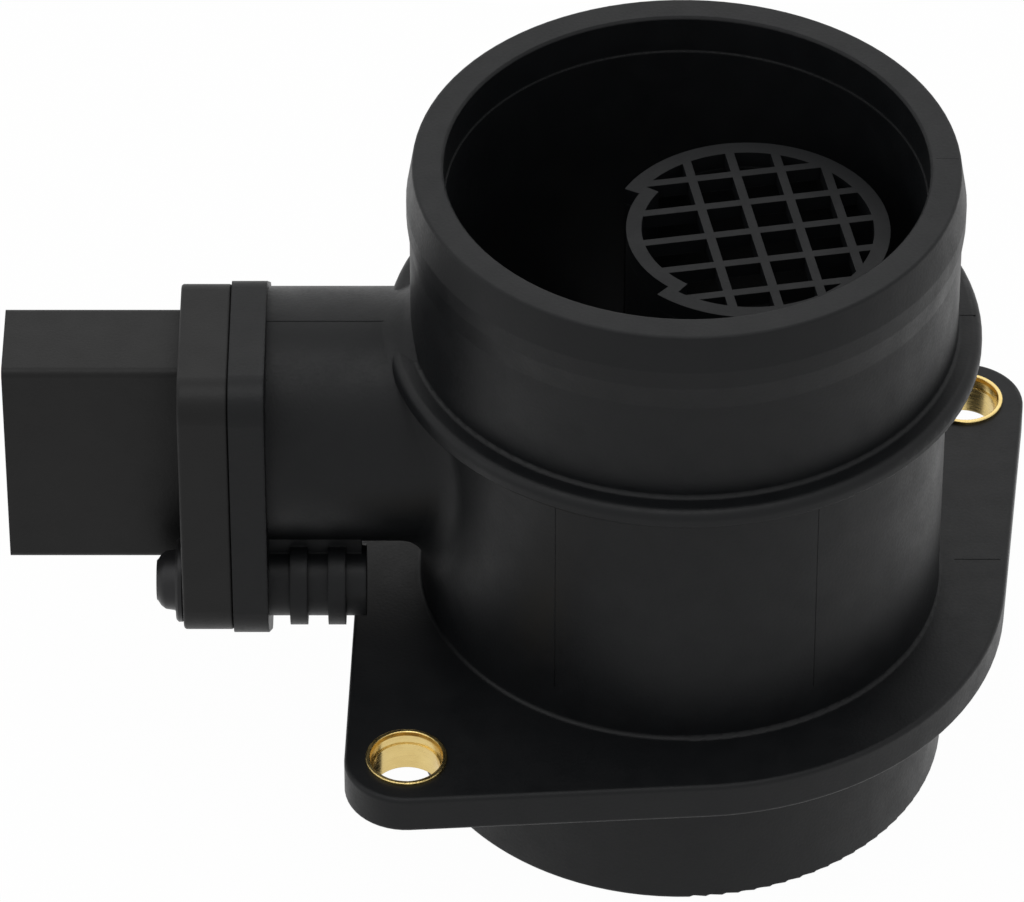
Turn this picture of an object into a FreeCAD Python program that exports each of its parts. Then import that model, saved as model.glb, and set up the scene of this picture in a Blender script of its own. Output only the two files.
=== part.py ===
"""Mass airflow sensor: a moulded tube with a plug-in sensor, in millimetres.

The tube stands along +Z. The origin is on its axis at the end of the lower spigot.
The connector points along -X, and -Y is the side of the front screw.
"""

import FreeCAD, Part
import math
import os
import re
import Sketcher

Vector = FreeCAD.Vector

# Driving dimensions

SIZES = {
    # tube
    "tube_height": 95.5,
    "bore_r": 31.0,
    "mouth_r": 31.2,
    "mouth_depth": 5.5,
    "outlet_r": 31.5,
    "outlet_depth": 5.0,
    "outlet_taper": 0.5,
    "mouth_edge": 0.3,
    "rim_r": 35.2,
    "rim_edge": 0.4,
    "bead_r": 36.0,
    "bead_length": 7.7,
    "bead_land": 2.6,
    "bead_ramp": 3.4,
    "waist_r": 35.6,
    "spigot_length": 25.9,
    "collar_r": 38.8,
    "collar_thick": 2.5,
    "collar_edge": 1.3,
    "collar_foot": 0.5,
    "body_r": 34.5,
    "foot_round": 0.5,
    "lower_length": 22.1,
    "lower_r": 35.6,
    "lower_edge": 0.6,
    # base flange and its two bushes
    "flange_thick": 5.5,
    "flange_arc_r": 43.2,
    "flange_arc_x": 0.2,
    "flange_arc_y": -0.8,
    "flange_ear_r": 8.1,
    "flange_edge": 0.6,
    "left_bush_x": -36.1,
    "left_bush_y": -38.4,
    "right_bush_x": 39.4,
    "right_bush_y": 34.5,
    "bush_r": 5.0,
    "bush_bore_r": 4.4,
    "bush_step_r": 4.6,
    "bush_step_depth": 1.9,
    "bush_flare_r": 4.75,
    "bush_flare_depth": 0.6,
    "bush_lip_r": 5.3,
    "bush_lip": 0.45,
    "bush_lip_edge": 0.12,
    "bush_fit": 0.05,
    # neck and socket flange
    "joint_x": -58.9,
    "neck_z": 53.95,
    "neck_r": 16.75,
    "neck_blend": 5.0,
    "socket_thick": 4.6,
    "socket_margin": 0.4,
    "socket_r": 8.3,
    "socket_half": 4.7,
    "socket_end": 4.0,
    # flange plate of the sensor: two screw ears and two plain corners
    "plate_thick": 6.6,
    "plate_z": 46.5,
    "plate_half_width": 19.0,
    "plate_half_height": 25.6,
    "plate_corner_r": 4.4,
    "plate_knee_y": 3.5,
    "plate_knee_r": 3.0,
    "plate_edge": 0.4,
    "screw_y": 12.5,
    "screw_drop": 10.65,
    "rear_screw_rise": 5.5,
    "screw_ear_r": 6.5,
    # screws and the ribbed boss
    "screw_r": 1.9,
    "screw_clear": 0.4,
    "screw_grip": 13.0,
    "screw_spare": 0.5,
    "screw_dome_r": 4.0,
    "screw_dome": 2.6,
    "screw_dome_round": 1.4,
    "screw_washer_r": 5.55,
    "screw_washer": 1.0,
    "screw_socket_r": 1.7,
    "screw_socket_depth": 1.8,
    "boss_r": 4.7,
    "boss_reach": 12.8,
    "boss_ring_r": 5.9,
    "boss_ring": 2.3,
    "boss_ring_start": 2.8,
    "boss_ring_pitch": 5.0,
    "boss_web_y": -11.2,
    "boss_web_half": 1.4,
    "boss_web_reach": 12.2,
    "boss_web_low": 38.2,
    "boss_web_top": 43.4,
    # connector shroud
    "shroud_length": 23.2,
    "shroud_z": 50.55,
    "shroud_half_width": 6.75,
    "shroud_half_height": 15.95,
    "shroud_wall": 1.6,
    "shroud_corner": 1.0,
    "shroud_depth": 19.0,
    # contacts
    "pin_pitch": 5.0,
    "pin_inner_pitch": 3.5,
    "pin_width": 1.4,
    "pin_thick": 0.8,
    "pin_setback": 6.0,
    "pin_inset": 0.6,
    "pin_step": 1.2,
    "pin_overlap": 2.0,
    # stem, seal and blade
    "stem_r": 8.0,
    "stem_short": 2.0,
    "groove_depth": 1.6,
    "groove_start": 6.0,
    "groove_width": 2.2,
    "seal_r": 0.9,
    "blade_half_width": 5.5,
    "blade_half_height": 10.6,
    "blade_tip": 5.7,
    # circuit
    "circuit_gap": 0.5,
    "circuit_length": 19.0,
    "circuit_half_height": 8.6,
    "circuit_floor": 2.2,
    "plate_metal": 1.0,
    "board_thick": 0.8,
    "board_margin": 0.6,
    "lid_thick": 1.2,
    "lid_lap": 1.0,
    "lid_fit": 0.1,
    "chip_size": 6.0,
    "chip_thick": 1.2,
    "capacitor_length": 2.0,
    "capacitor_width": 1.3,
    "capacitor_thick": 1.0,
    "capacitor_inset": 3.6,
    # bypass channel with the hot-film element
    "channel_half": 4.0,
    "channel_deep": 2.5,
    "channel_offset": -8.3,
    "carrier_half_height": 3.0,
    "carrier_thick": 0.6,
    "carrier_reach": 2.0,
    "film_length": 4.0,
    "film_half_height": 1.2,
    "film_thick": 0.4,
    "film_margin": 0.5,
    # air temperature sensor
    "window_length": 3.5,
    "window_half_height": 5.0,
    "window_wall": 2.0,
    "bead_sensor_r": 1.1,
    "lead_r": 0.25,
    "lead_root": 1.5,
    # inner duct and grid
    "duct_x": 8.3,
    "duct_turn": 10.2,
    "duct_r": 18.1,
    "duct_wall": 2.1,
    "duct_recess": 2.0,
    "duct_recess_half": 37.6,
    "duct_recess_lap": 6.0,
    "duct_bottom": 22.0,
    "duct_window_fit": 0.3,
    "web_thick": 2.0,
    "web_top": 38.0,
    "seat_bottom": 6.0,
    "seat_height": 12.0,
    "seat_wall": 1.8,
    "seat_fit": 0.1,
    "grid_depth": 10.6,
    "grid_thick": 2.4,
    "grid_bar": 1.2,
    "grid_bar_height": 2.0,
    "grid_row_pitch": 6.0,
    "grid_row_offset": -0.45,
    "grid_column_pitch": 5.85,
    "grid_column_offset": 0.5,
    # how far a cutting shape runs past the face that it cuts
    "overrun": 1.0,
}

# Contacts in the connector, webs of the duct, and bars of the grid on each side of its middle bar
PIN_COUNT = 5
RING_COUNT = 2
WEB_COUNT = 3
GRID_ROWS = (-2, -1, 0, 1, 2)
GRID_COLUMNS = (-1, 0, 1, 2)

# Coordinates nearer than this are the same
NEAR = 0.01

# Places worked out from the sizes
FLANGE_TOP = "(lower_length + flange_thick)"
COLLAR_TOP = "(tube_height - spigot_length)"
PLATE_X = "(joint_x - plate_thick)"
MOUTH_X = "(joint_x - plate_thick - shroud_length)"
SOCKET_X = "(joint_x + socket_thick)"
STEM_X = "(-1 * bore_r - stem_short)"
TIP_X = "(duct_x + blade_tip)"
CIRCUIT_X = "(circuit_gap - bore_r)"
CIRCUIT_END = "(circuit_gap - bore_r + circuit_length)"
BOARD_TOP = "(plate_metal + board_thick - circuit_floor)"
CHANNEL_X = "(duct_x + channel_offset)"
WINDOW_X = "(duct_x + blade_tip - window_wall - window_length / 2)"
GRID_TOP = "(tube_height - grid_depth)"
DUCT_TOP = "(tube_height - grid_depth - grid_thick)"
DUCT_BORE_R = "(duct_r - duct_wall)"
FRONT_SCREW = ("-1 * screw_y", "plate_z - screw_drop")
REAR_EAR = ("screw_y", "plate_z + screw_drop")
REAR_SCREW = ("screw_y", "plate_z + rear_screw_rise")

doc = FreeCAD.newDocument("mass_airflow_sensor")
dim = doc.addObject("Spreadsheet::Sheet", "dim")
PARTS = []


# Helpers

def fill_sheet():
    for row, (alias, size) in enumerate(SIZES.items(), 1):
        dim.set(f"A{row}", alias)
        dim.set(f"B{row}", str(size))
        dim.setAlias(f"B{row}", alias)
    doc.recompute()


def cell(word):
    """A size's name as a reference to its cell; any other word as it is."""
    return f"dim.{word[0]}" if word[0] in SIZES else word[0]


def bound(text):
    return re.sub(r"[a-z_][a-z_0-9]*", cell, str(text))


def value(text):
    return float(dim.evalExpression(bound(text)))


def span(centre, half):
    """The two limits of something centred on a place."""
    return f"{centre} - {half}", f"{centre} + {half}"


def either_side(half):
    return f"-1 * ({half})", half


def move(item, x=0, y=0, z=0):
    for axis, text in zip("xyz", (x, y, z)):
        item.setExpression(f"Placement.Base.{axis}", bound(text))


def turn_about_z(item, angle):
    item.Placement.Rotation = FreeCAD.Rotation(Vector(0, 0, 1), value(angle))
    item.setExpression("Placement.Rotation.Angle", bound(angle))


def box(name, x, y, z):
    """A box from three pairs of limits."""
    item = doc.addObject("Part::Box", name)
    for prop, (low, high) in zip(("Length", "Width", "Height"), (x, y, z)):
        item.setExpression(prop, bound(f"({high}) - ({low})"))
    move(item, x[0], y[0], z[0])
    return item


def strip(name, length, width, height, start, angle):
    """A flat bar from start, at an angle in plan, with half its width on each side."""
    item = doc.addObject("Part::Box", name)
    for prop, text in (("Length", length), ("Width", width), ("Height", height)):
        item.setExpression(prop, bound(text))
    turn_about_z(item, angle)
    x, y, z = start
    move(item, f"{x} + {width} / 2 * sin({angle})", f"{y} - {width} / 2 * cos({angle})", z)
    return item


def cylinder(name, radius, height, place=(0, 0, 0)):
    item = doc.addObject("Part::Cylinder", name)
    item.setExpression("Radius", bound(radius))
    item.setExpression("Height", bound(height))
    move(item, *place)
    return item


def rod(name, radius, x_low, x_high, place):
    """A cylinder along X."""
    item = cylinder(name, radius, f"({x_high}) - ({x_low})", (x_low, *place))
    item.Placement.Rotation = FreeCAD.Rotation(Vector(0, 1, 0), 90)
    return item


def fuse(name, pieces):
    item = doc.addObject("Part::MultiFuse", name)
    item.Shapes = pieces
    item.Refine = False
    return item


def cut(name, base, tools):
    item = doc.addObject("Part::Cut", name)
    item.Base = base
    item.Tool = tools[0] if len(tools) == 1 else fuse(f"{name}_tools", tools)
    item.Refine = False
    return item


def common(name, first, second):
    item = doc.addObject("Part::MultiCommon", name)
    item.Shapes = [first, second]
    return item


def rounded(name, base, radius, wanted):
    """Fillet the edges that wanted picks."""
    doc.recompute()
    item = doc.addObject("Part::Fillet", name)
    item.Base = base
    size = value(radius)
    numbered = enumerate(base.Shape.Edges, 1)
    item.Edges = [(number, size, size) for number, edge in numbered if wanted(edge)]
    return item


def lies_along_x(edge):
    bounds = edge.BoundBox
    return bounds.YLength < NEAR and bounds.ZLength < NEAR


def lies_across_x(edge):
    return edge.BoundBox.XLength < NEAR


def lies_level(edge):
    return edge.BoundBox.ZLength < NEAR


def bends_in_space(edge):
    bounds = edge.BoundBox
    return min(bounds.XLength, bounds.YLength, bounds.ZLength) > NEAR


def add_line(sketch, start, end):
    return sketch.addGeometry(Part.LineSegment(Vector(*start), Vector(*end)), False)


def add_arc(sketch, centre, radius, start, end, outward):
    """An arc from start to end, counterclockwise where outward is true."""
    if not outward:
        start, end = end, start
    first = math.atan2(start[1] - centre[1], start[0] - centre[0])
    last = math.atan2(end[1] - centre[1], end[0] - centre[0])
    if last < first:
        last += 2 * math.pi
    circle = Part.Circle(Vector(*centre), Vector(0, 0, 1), radius)
    return sketch.addGeometry(Part.ArcOfCircle(circle, first, last), False)


def pin_point(sketch, geometry, vertex, place):
    """Tie a point of the sketch to its two coordinates."""
    for kind, text in zip(("DistanceX", "DistanceY"), place):
        rule = Sketcher.Constraint(kind, -1, 1, geometry, vertex, value(text))
        number = sketch.addConstraint(rule)
        sketch.setExpression(f"Constraints[{number}]", bound(text))


def set_radius(sketch, arc, radius):
    number = sketch.addConstraint(Sketcher.Constraint("Radius", arc, value(radius)))
    sketch.setExpression(f"Constraints[{number}]", bound(radius))


def new_sketch(name, plane):
    sketch = doc.addObject("Sketcher::SketchObject", name)
    turns = {
        "XY": FreeCAD.Rotation(),
        "XZ": FreeCAD.Rotation(Vector(1, 0, 0), 90),
        "YZ": FreeCAD.Rotation(Vector(1, 1, 1), 120),
    }
    sketch.Placement.Rotation = turns[plane]
    return sketch


def corner_ends(before, point, after, radius):
    """Where a rounded corner's arc starts and ends, its centre, and whether it bulges outward."""
    back = before - point
    ahead = after - point
    outward = back.cross(ahead).z < 0
    half = back.getAngle(ahead) / 2
    back.normalize()
    ahead.normalize()
    middle = back + ahead
    middle.normalize()
    reach = radius / math.tan(half)
    return point + back * reach, point + ahead * reach, point + middle * (radius / math.sin(half)), outward


def polygon(name, plane, corners):
    """A closed outline of straight sides, counterclockwise. A third value rounds its corner."""
    sketch = new_sketch(name, plane)
    points = [Vector(value(corner[0]), value(corner[1])) for corner in corners]
    count = len(points)
    ends = []
    for here, corner in enumerate(corners):
        point = points[here]
        if len(corner) == 2:
            ends.append((point, point, None, True))
        else:
            ends.append(corner_ends(points[here - 1], point, points[(here + 1) % count], value(corner[2])))
    sides = [add_line(sketch, ends[n][1], ends[(n + 1) % count][0]) for n in range(count)]
    for here, corner in enumerate(corners):
        first, last, centre, outward = ends[here]
        before, after = sides[here - 1], sides[here]
        if centre is None:
            sketch.addConstraint(Sketcher.Constraint("Coincident", before, 2, after, 1))
            pin_point(sketch, after, 1, corner[:2])
            continue
        arc = add_arc(sketch, centre, value(corner[2]), first, last, outward)
        enter, leave = (1, 2) if outward else (2, 1)
        sketch.addConstraint(Sketcher.Constraint("Tangent", before, 2, arc, enter))
        sketch.addConstraint(Sketcher.Constraint("Tangent", arc, leave, after, 1))
        set_radius(sketch, arc, corner[2])
        tip = sketch.addGeometry(Part.Point(points[here]), True)
        sketch.addConstraint(Sketcher.Constraint("PointOnObject", tip, 1, before))
        sketch.addConstraint(Sketcher.Constraint("PointOnObject", tip, 1, after))
        pin_point(sketch, tip, 1, corner[:2])
    return sketch


def belt(name, plane, wheels):
    """The outline of a tight belt round circles, given counterclockwise as centre and radius."""
    sketch = new_sketch(name, plane)
    circles = [(Vector(value(u), value(v)), value(radius)) for u, v, radius in wheels]
    count = len(circles)
    touch = []
    for here, (centre, radius) in enumerate(circles):
        other, other_radius = circles[(here + 1) % count]
        gap = other - centre
        lean = math.asin((radius - other_radius) / gap.Length)
        angle = math.atan2(gap.y, gap.x) - math.pi / 2 + lean
        normal = Vector(math.cos(angle), math.sin(angle))
        touch.append((centre + normal * radius, other + normal * other_radius))
    arcs = []
    for here, (centre, radius) in enumerate(circles):
        arcs.append(add_arc(sketch, centre, radius, touch[here - 1][1], touch[here][0], True))
    for here, (start, end) in enumerate(touch):
        side = add_line(sketch, start, end)
        sketch.addConstraint(Sketcher.Constraint("Tangent", arcs[here], 2, side, 1))
        sketch.addConstraint(Sketcher.Constraint("Tangent", side, 2, arcs[(here + 1) % count], 1))
    for arc, (u, v, radius) in zip(arcs, wheels):
        set_radius(sketch, arc, radius)
        pin_point(sketch, arc, 3, (u, v))
    return sketch


def revolve(name, corners):
    """A solid turned about Z from corners of radius and height."""
    item = doc.addObject("Part::Revolution", name)
    item.Source = polygon(f"{name}_profile", "XZ", corners)
    item.Axis = Vector(0, 0, 1)
    item.Angle = 360
    item.Solid = True
    return item


def extrude(name, sketch, length, axis, start):
    """Pull an outline from its plane, which stands at start on the axis."""
    item = doc.addObject("Part::Extrusion", name)
    item.Base = sketch
    item.DirMode = "Normal"
    item.Solid = True
    item.setExpression("LengthFwd", bound(length))
    sketch.setExpression(f"Placement.Base.{axis}", bound(start))
    return item


def stadium(name, radius, half, x_low, x_high):
    """A round-ended bar along X, centred on the neck's axis."""
    wheels = [("0", f"neck_z - {half}", radius), ("0", f"neck_z + {half}", radius)]
    outline = belt(f"{name}_outline", "YZ", wheels)
    return extrude(name, outline, f"({x_high}) - ({x_low})", "x", x_low)


def name_part(item, label):
    item.Label = label
    PARTS.append(item)
    return item


# Tube housing

def tube_outside():
    foot = "body_r + foot_round + overrun"
    return revolve("tube_outside", [
        ("0", "0"),
        ("lower_r", "0", "lower_edge"),
        ("lower_r", "lower_length"),
        (foot, "lower_length"),
        (foot, FLANGE_TOP),
        ("body_r", FLANGE_TOP, "foot_round"),
        ("body_r", f"{COLLAR_TOP} - collar_thick"),
        ("collar_r", f"{COLLAR_TOP} - collar_thick", "collar_foot"),
        ("collar_r", COLLAR_TOP, "collar_edge"),
        ("waist_r", COLLAR_TOP, "collar_foot"),
        ("waist_r", "tube_height - bead_length - bead_ramp"),
        ("bead_r", "tube_height - bead_length"),
        ("bead_r", "tube_height - bead_length + bead_land"),
        ("rim_r", "tube_height", "rim_edge"),
        ("0", "tube_height"),
    ])


def tube_bore():
    above = "tube_height + overrun"
    return revolve("tube_bore", [
        ("0", "-1 * overrun"),
        ("outlet_r", "-1 * overrun"),
        ("outlet_r", "outlet_depth"),
        ("bore_r", "outlet_depth + outlet_taper"),
        ("bore_r", "tube_height - mouth_depth"),
        ("mouth_r", "tube_height - mouth_depth"),
        ("mouth_r", "tube_height - mouth_edge"),
        ("mouth_r + mouth_edge + overrun", above),
        ("0", above),
    ])


def base_flange():
    """A round plate drawn out to an ear at each bush."""
    disc = ("flange_arc_x", "flange_arc_y", "flange_arc_r")
    right_ear = ("right_bush_x", "right_bush_y", "flange_ear_r")
    left_ear = ("left_bush_x", "left_bush_y", "flange_ear_r")
    outline = belt("flange_outline", "XY", [disc, right_ear, disc, left_ear])
    slab = extrude("flange_slab", outline, "flange_thick", "z", "lower_length")
    return rounded("base_flange", slab, "flange_edge", lies_level)


def neck_with_blend():
    """The neck, blended into a plain copy of the tube's body."""
    core_height = f"tube_height - bead_length - bead_ramp - {FLANGE_TOP}"
    core = cylinder("neck_core", "body_r", core_height, (0, 0, FLANGE_TOP))
    neck = rod("neck_round", "neck_r", "joint_x + overrun", "0", (0, "neck_z"))
    joined = fuse("neck_on_core", [core, neck])
    return rounded("neck_blended", joined, "neck_blend", bends_in_space)


def plate_outline(name, margin):
    """The plate's outline, the same when turned half a turn about its middle."""
    side = "(plate_half_width - plate_corner_r)"
    rise = "(plate_half_height - plate_corner_r)"
    knee = "(plate_half_height - plate_knee_r)"
    corner = f"plate_corner_r + {margin}"
    ear = f"screw_ear_r + {margin}"
    bend = f"plate_knee_r + {margin}"
    wheels = [
        (f"-1 * {side}", f"plate_z + {rise}", corner),
        (*FRONT_SCREW, ear),
        ("-1 * plate_knee_y", f"plate_z - {knee}", bend),
        (side, f"plate_z - {rise}", corner),
        (*REAR_EAR, ear),
        ("plate_knee_y", f"plate_z + {knee}", bend),
    ]
    return belt(name, "YZ", wheels)


def screw_boss():
    pieces = [rod("boss_core", "boss_r", "joint_x + overrun", f"{SOCKET_X} + boss_reach", FRONT_SCREW)]
    for number in range(RING_COUNT):
        start = f"{SOCKET_X} + boss_ring_start + boss_ring_pitch * {number}"
        end = f"{start} + boss_ring"
        pieces.append(rod(f"boss_ring_{number + 1}", "boss_ring_r", start, end, FRONT_SCREW))
    web_x = (f"{SOCKET_X} - overrun", f"{SOCKET_X} + boss_web_reach")
    web_y = span("boss_web_y", "boss_web_half")
    pieces.append(box("boss_web", web_x, web_y, ("boss_web_low", "boss_web_top")))
    return pieces


def plain_bore(name):
    return cylinder(name, "bore_r", "tube_height + 2 * overrun", (0, 0, "-1 * overrun"))


def socket_bore(name):
    """The round-ended opening through the neck that takes the sensor's stem."""
    return stadium(name, "socket_r", "socket_half", "joint_x - overrun", "socket_end - bore_r")


def open_tube():
    return cut("open_tube", tube_outside(), [tube_bore(), socket_bore("wall_opening")])


def open_flange():
    holes = [plain_bore("flange_bore")]
    for side in ("left", "right"):
        place = (f"{side}_bush_x", f"{side}_bush_y", "lower_length - overrun")
        holes.append(cylinder(f"{side}_bush_hole", "bush_r + bush_fit", "flange_thick + 2 * overrun", place))
    return cut("open_flange", base_flange(), holes)


def open_neck():
    """The neck with its flange and boss, and the holes for the stem and the screws."""
    hollow_neck = cut("hollow_neck", neck_with_blend(), [plain_bore("neck_bore")])
    outline = plate_outline("socket_outline", "socket_margin")
    socket_flange = extrude("socket_flange", outline, "socket_thick", "x", "joint_x")
    side = fuse("neck_side", [hollow_neck, socket_flange, *screw_boss()])
    before = "joint_x - overrun"
    pilot_end = "joint_x + screw_grip + screw_spare"
    return cut("open_neck", side, [
        socket_bore("neck_opening"),
        rod("front_pilot", "screw_r", before, pilot_end, FRONT_SCREW),
        rod("rear_pilot", "screw_r", before, pilot_end, REAR_SCREW),
    ])


def make_housing():
    name_part(fuse("housing_moulding", [open_tube(), open_flange(), open_neck()]), "housing")


def make_bush(side):
    """A turned bush with a flared lip that stands on the flange."""
    top = "flange_thick + bush_lip"
    bush = revolve(f"{side}_bush_turned", [
        ("bush_bore_r", "0"),
        ("bush_r", "0"),
        ("bush_r", "flange_thick"),
        ("bush_lip_r", "flange_thick"),
        ("bush_lip_r", top, "bush_lip_edge"),
        ("bush_flare_r", top, "bush_lip_edge"),
        ("bush_step_r", f"{top} - bush_flare_depth"),
        ("bush_step_r", f"{top} - bush_step_depth"),
        ("bush_bore_r", f"{top} - bush_step_depth"),
    ])
    move(bush, f"{side}_bush_x", f"{side}_bush_y", "lower_length")
    name_part(bush, f"{side}_bush")


# Sensor body

def shroud_block(name, inset, x_low, x_high):
    y = either_side(f"shroud_half_width - {inset}")
    z = span("shroud_z", f"(shroud_half_height - {inset})")
    block = box(name, (x_low, x_high), y, z)
    return rounded(f"{name}_soft", block, "shroud_corner", lies_along_x)


def blade_box(name, x, y, z_half):
    return box(name, x, y, span("neck_z", f"({z_half})"))


def seal_groove():
    start = "joint_x + groove_start"
    end = "joint_x + groove_start + groove_width"
    ring = stadium("groove_outside", "stem_r + overrun", "socket_half", start, end)
    core_r = "stem_r - groove_depth"
    core = stadium("groove_core", core_r, "socket_half", f"{start} - overrun", f"{end} + overrun")
    return cut("seal_groove", ring, [core])


def sensor_blank():
    """Everything solid in the sensor's moulding, before its openings."""
    plate = extrude("plate_slab", plate_outline("plate_shape", "0"), "plate_thick", "x", PLATE_X)
    soft_plate = rounded("plate_soft", plate, "plate_edge", lies_across_x)
    shroud = shroud_block("shroud_outside", "0", MOUTH_X, f"{PLATE_X} + overrun")
    stem = stadium("stem", "stem_r", "socket_half", "joint_x - overrun", STEM_X)
    blade_x = (f"{STEM_X} - overrun", TIP_X)
    blade = blade_box("blade", blade_x, either_side("blade_half_width"), "blade_half_height")
    return fuse("sensor_solid", [soft_plate, shroud, stem, blade])


def circuit_openings():
    """The circuit's pocket and the recess of its lid."""
    above = "blade_half_width + overrun"
    pocket_y = ("-1 * circuit_floor", above)
    lid_x = (f"{CIRCUIT_X} - lid_lap", f"{CIRCUIT_END} + lid_lap")
    lid_y = ("blade_half_width - lid_thick", above)
    return [
        blade_box("circuit_pocket", (CIRCUIT_X, CIRCUIT_END), pocket_y, "circuit_half_height"),
        blade_box("lid_recess", lid_x, lid_y, "circuit_half_height + lid_lap"),
    ]


def channel_openings():
    """The bypass channel, the recess of its lid and the slot for the hot-film element."""
    below = "-1 * blade_half_width - overrun"
    tall = "blade_half_height + overrun"
    slot_x = (f"{CIRCUIT_END} - overrun", f"{CHANNEL_X} - channel_half + overrun")
    back = f"{BOARD_TOP} - board_thick"
    slot_y = (f"{back} - lid_fit", f"{back} + carrier_thick + lid_fit")
    return [
        blade_box("channel", span(CHANNEL_X, "channel_half"), (below, "channel_deep"), tall),
        blade_box(
            "channel_lid_recess",
            span(CHANNEL_X, "(channel_half + lid_lap)"),
            (below, "lid_thick - blade_half_width"),
            tall,
        ),
        blade_box("carrier_slot", slot_x, slot_y, "carrier_half_height + lid_fit"),
    ]


def make_sensor_body(pin_cavities):
    window_x = span(WINDOW_X, "window_length / 2")
    window_y = either_side("blade_half_width + overrun")
    before = f"{PLATE_X} - overrun"
    after = "joint_x + overrun"
    holes = [
        shroud_block("shroud_cavity", "shroud_wall", f"{MOUTH_X} - overrun", f"{MOUTH_X} + shroud_depth"),
        seal_groove(),
        *circuit_openings(),
        *channel_openings(),
        blade_box("sensor_window", window_x, window_y, "window_half_height"),
        lead_wire("lead_hole"),
        rod("front_plate_hole", "screw_r + screw_clear", before, after, FRONT_SCREW),
        rod("rear_plate_hole", "screw_r + screw_clear", before, after, REAR_SCREW),
    ]
    name_part(cut("sensor_moulding", sensor_blank(), holes + pin_cavities), "sensor_body")


def pin_shape(name, number):
    """A stamped contact: out along the connector, a step inside the plate, then in to the circuit."""
    rank = number - PIN_COUNT // 2
    outer = f"(shroud_z + pin_pitch * {rank})"
    inner = f"(neck_z + pin_inner_pitch * {rank})"
    step = f"(joint_x - pin_inset - pin_step * {number})"
    half_width = "pin_width / 2"
    half = "pin_thick / 2"
    y = (BOARD_TOP, f"{BOARD_TOP} + pin_thick")
    tab_x = (f"{MOUTH_X} + pin_setback", f"{step} + {half}")
    riser_z = (f"{outer} - {half_width}", f"{inner} + {half}")
    tail_x = (f"{step} - {half}", f"{CIRCUIT_X} + board_margin + pin_overlap")
    pieces = [
        box(f"{name}_tab", tab_x, y, span(outer, half_width)),
        box(f"{name}_riser", span(step, half), y, riser_z),
        box(f"{name}_tail", tail_x, y, span(inner, half)),
    ]
    return fuse(name, pieces)


def lead_wire(name):
    """The straight pair of leads across the window, drawn as one wire."""
    reach = "(window_half_height + lead_root)"
    return cylinder(name, "lead_r", f"{reach} * 2", (WINDOW_X, 0, f"neck_z - {reach}"))


def make_seal():
    """A round cord bent into the stem's round-ended shape."""
    path_r = "(stem_r - groove_depth + seal_r)"
    x = "joint_x + groove_start + groove_width / 2"
    spin = FreeCAD.Rotation(Vector(1, 1, 1), 120)
    pieces = []
    for name, side, turn in (("lower", "-", 180), ("upper", "+", 0)):
        bend = doc.addObject("Part::Torus", f"seal_{name}_bend")
        bend.setExpression("Radius1", bound(path_r))
        bend.setExpression("Radius2", bound("seal_r"))
        bend.Angle3 = 180
        bend.Placement.Rotation = spin.multiply(FreeCAD.Rotation(Vector(0, 0, 1), turn))
        move(bend, x, 0, f"neck_z {side} socket_half")
        pieces.append(bend)
    for name, side in (("front", "-1"), ("back", "1")):
        place = (x, f"{side} * {path_r}", "neck_z - socket_half")
        pieces.append(cylinder(f"seal_{name}_run", "seal_r", "socket_half * 2", place))
    name_part(fuse("seal_cord", pieces), "stem_seal")


# Circuit, hot-film element and temperature sensor

def make_circuit():
    pocket_x = (f"{CIRCUIT_X} + lid_fit", f"{CIRCUIT_END} - lid_fit")
    metal_y = ("-1 * circuit_floor", "plate_metal - circuit_floor")
    metal = blade_box("metal_plate", pocket_x, metal_y, "circuit_half_height - lid_fit")
    name_part(metal, "base_plate")
    board_x = (f"{CIRCUIT_X} + board_margin", f"{CIRCUIT_END} - board_margin")
    board = blade_box("ceramic", board_x, (metal_y[1], BOARD_TOP), "circuit_half_height - board_margin")
    name_part(board, "circuit_board")
    chip_x = span(f"({CIRCUIT_X} + circuit_length / 2)", "chip_size / 2")
    chip_y = (BOARD_TOP, f"{BOARD_TOP} + chip_thick")
    name_part(blade_box("chip_block", chip_x, chip_y, "chip_size / 2"), "control_chip")
    capacitor_start = f"{CIRCUIT_END} - capacitor_inset"
    capacitor_x = (capacitor_start, f"{capacitor_start} + capacitor_length")
    capacitor_y = (BOARD_TOP, f"{BOARD_TOP} + capacitor_thick")
    for number, side in ((1, "-"), (2, "+")):
        z = span(f"(neck_z {side} circuit_half_height / 2)", "capacitor_width / 2")
        name_part(box(f"capacitor_block_{number}", capacitor_x, capacitor_y, z), f"capacitor_{number}")
    lid_x = (f"{CIRCUIT_X} - lid_lap + lid_fit", f"{CIRCUIT_END} + lid_lap - lid_fit")
    lid_y = ("blade_half_width - lid_thick", "blade_half_width")
    lid = blade_box("circuit_lid", lid_x, lid_y, "circuit_half_height + lid_lap - lid_fit")
    name_part(lid, "electronics_cover")


def make_film_element():
    back = f"({BOARD_TOP} - board_thick)"
    front = f"({BOARD_TOP} - board_thick + carrier_thick)"
    end = f"({CHANNEL_X} + carrier_reach)"
    carrier_x = (f"{CIRCUIT_END} - board_margin", end)
    carrier = blade_box("carrier_strip", carrier_x, (back, front), "carrier_half_height")
    name_part(carrier, "chip_carrier")
    film_x = (f"{end} - film_margin - film_length", f"{end} - film_margin")
    film_y = (front, f"{front} + film_thick")
    name_part(blade_box("film", film_x, film_y, "film_half_height"), "sensor_chip")
    cover_x = span(CHANNEL_X, "(channel_half + lid_lap - lid_fit)")
    cover_y = ("-1 * blade_half_width", "lid_thick - blade_half_width")
    name_part(blade_box("channel_lid", cover_x, cover_y, "blade_half_height"), "bypass_cover")


def make_temperature_sensor():
    bead = doc.addObject("Part::Sphere", "sensor_bead")
    bead.setExpression("Radius", bound("bead_sensor_r"))
    move(bead, WINDOW_X, 0, "neck_z")
    name_part(fuse("bead_on_leads", [bead, lead_wire("lead_pair")]), "temperature_sensor")


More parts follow.
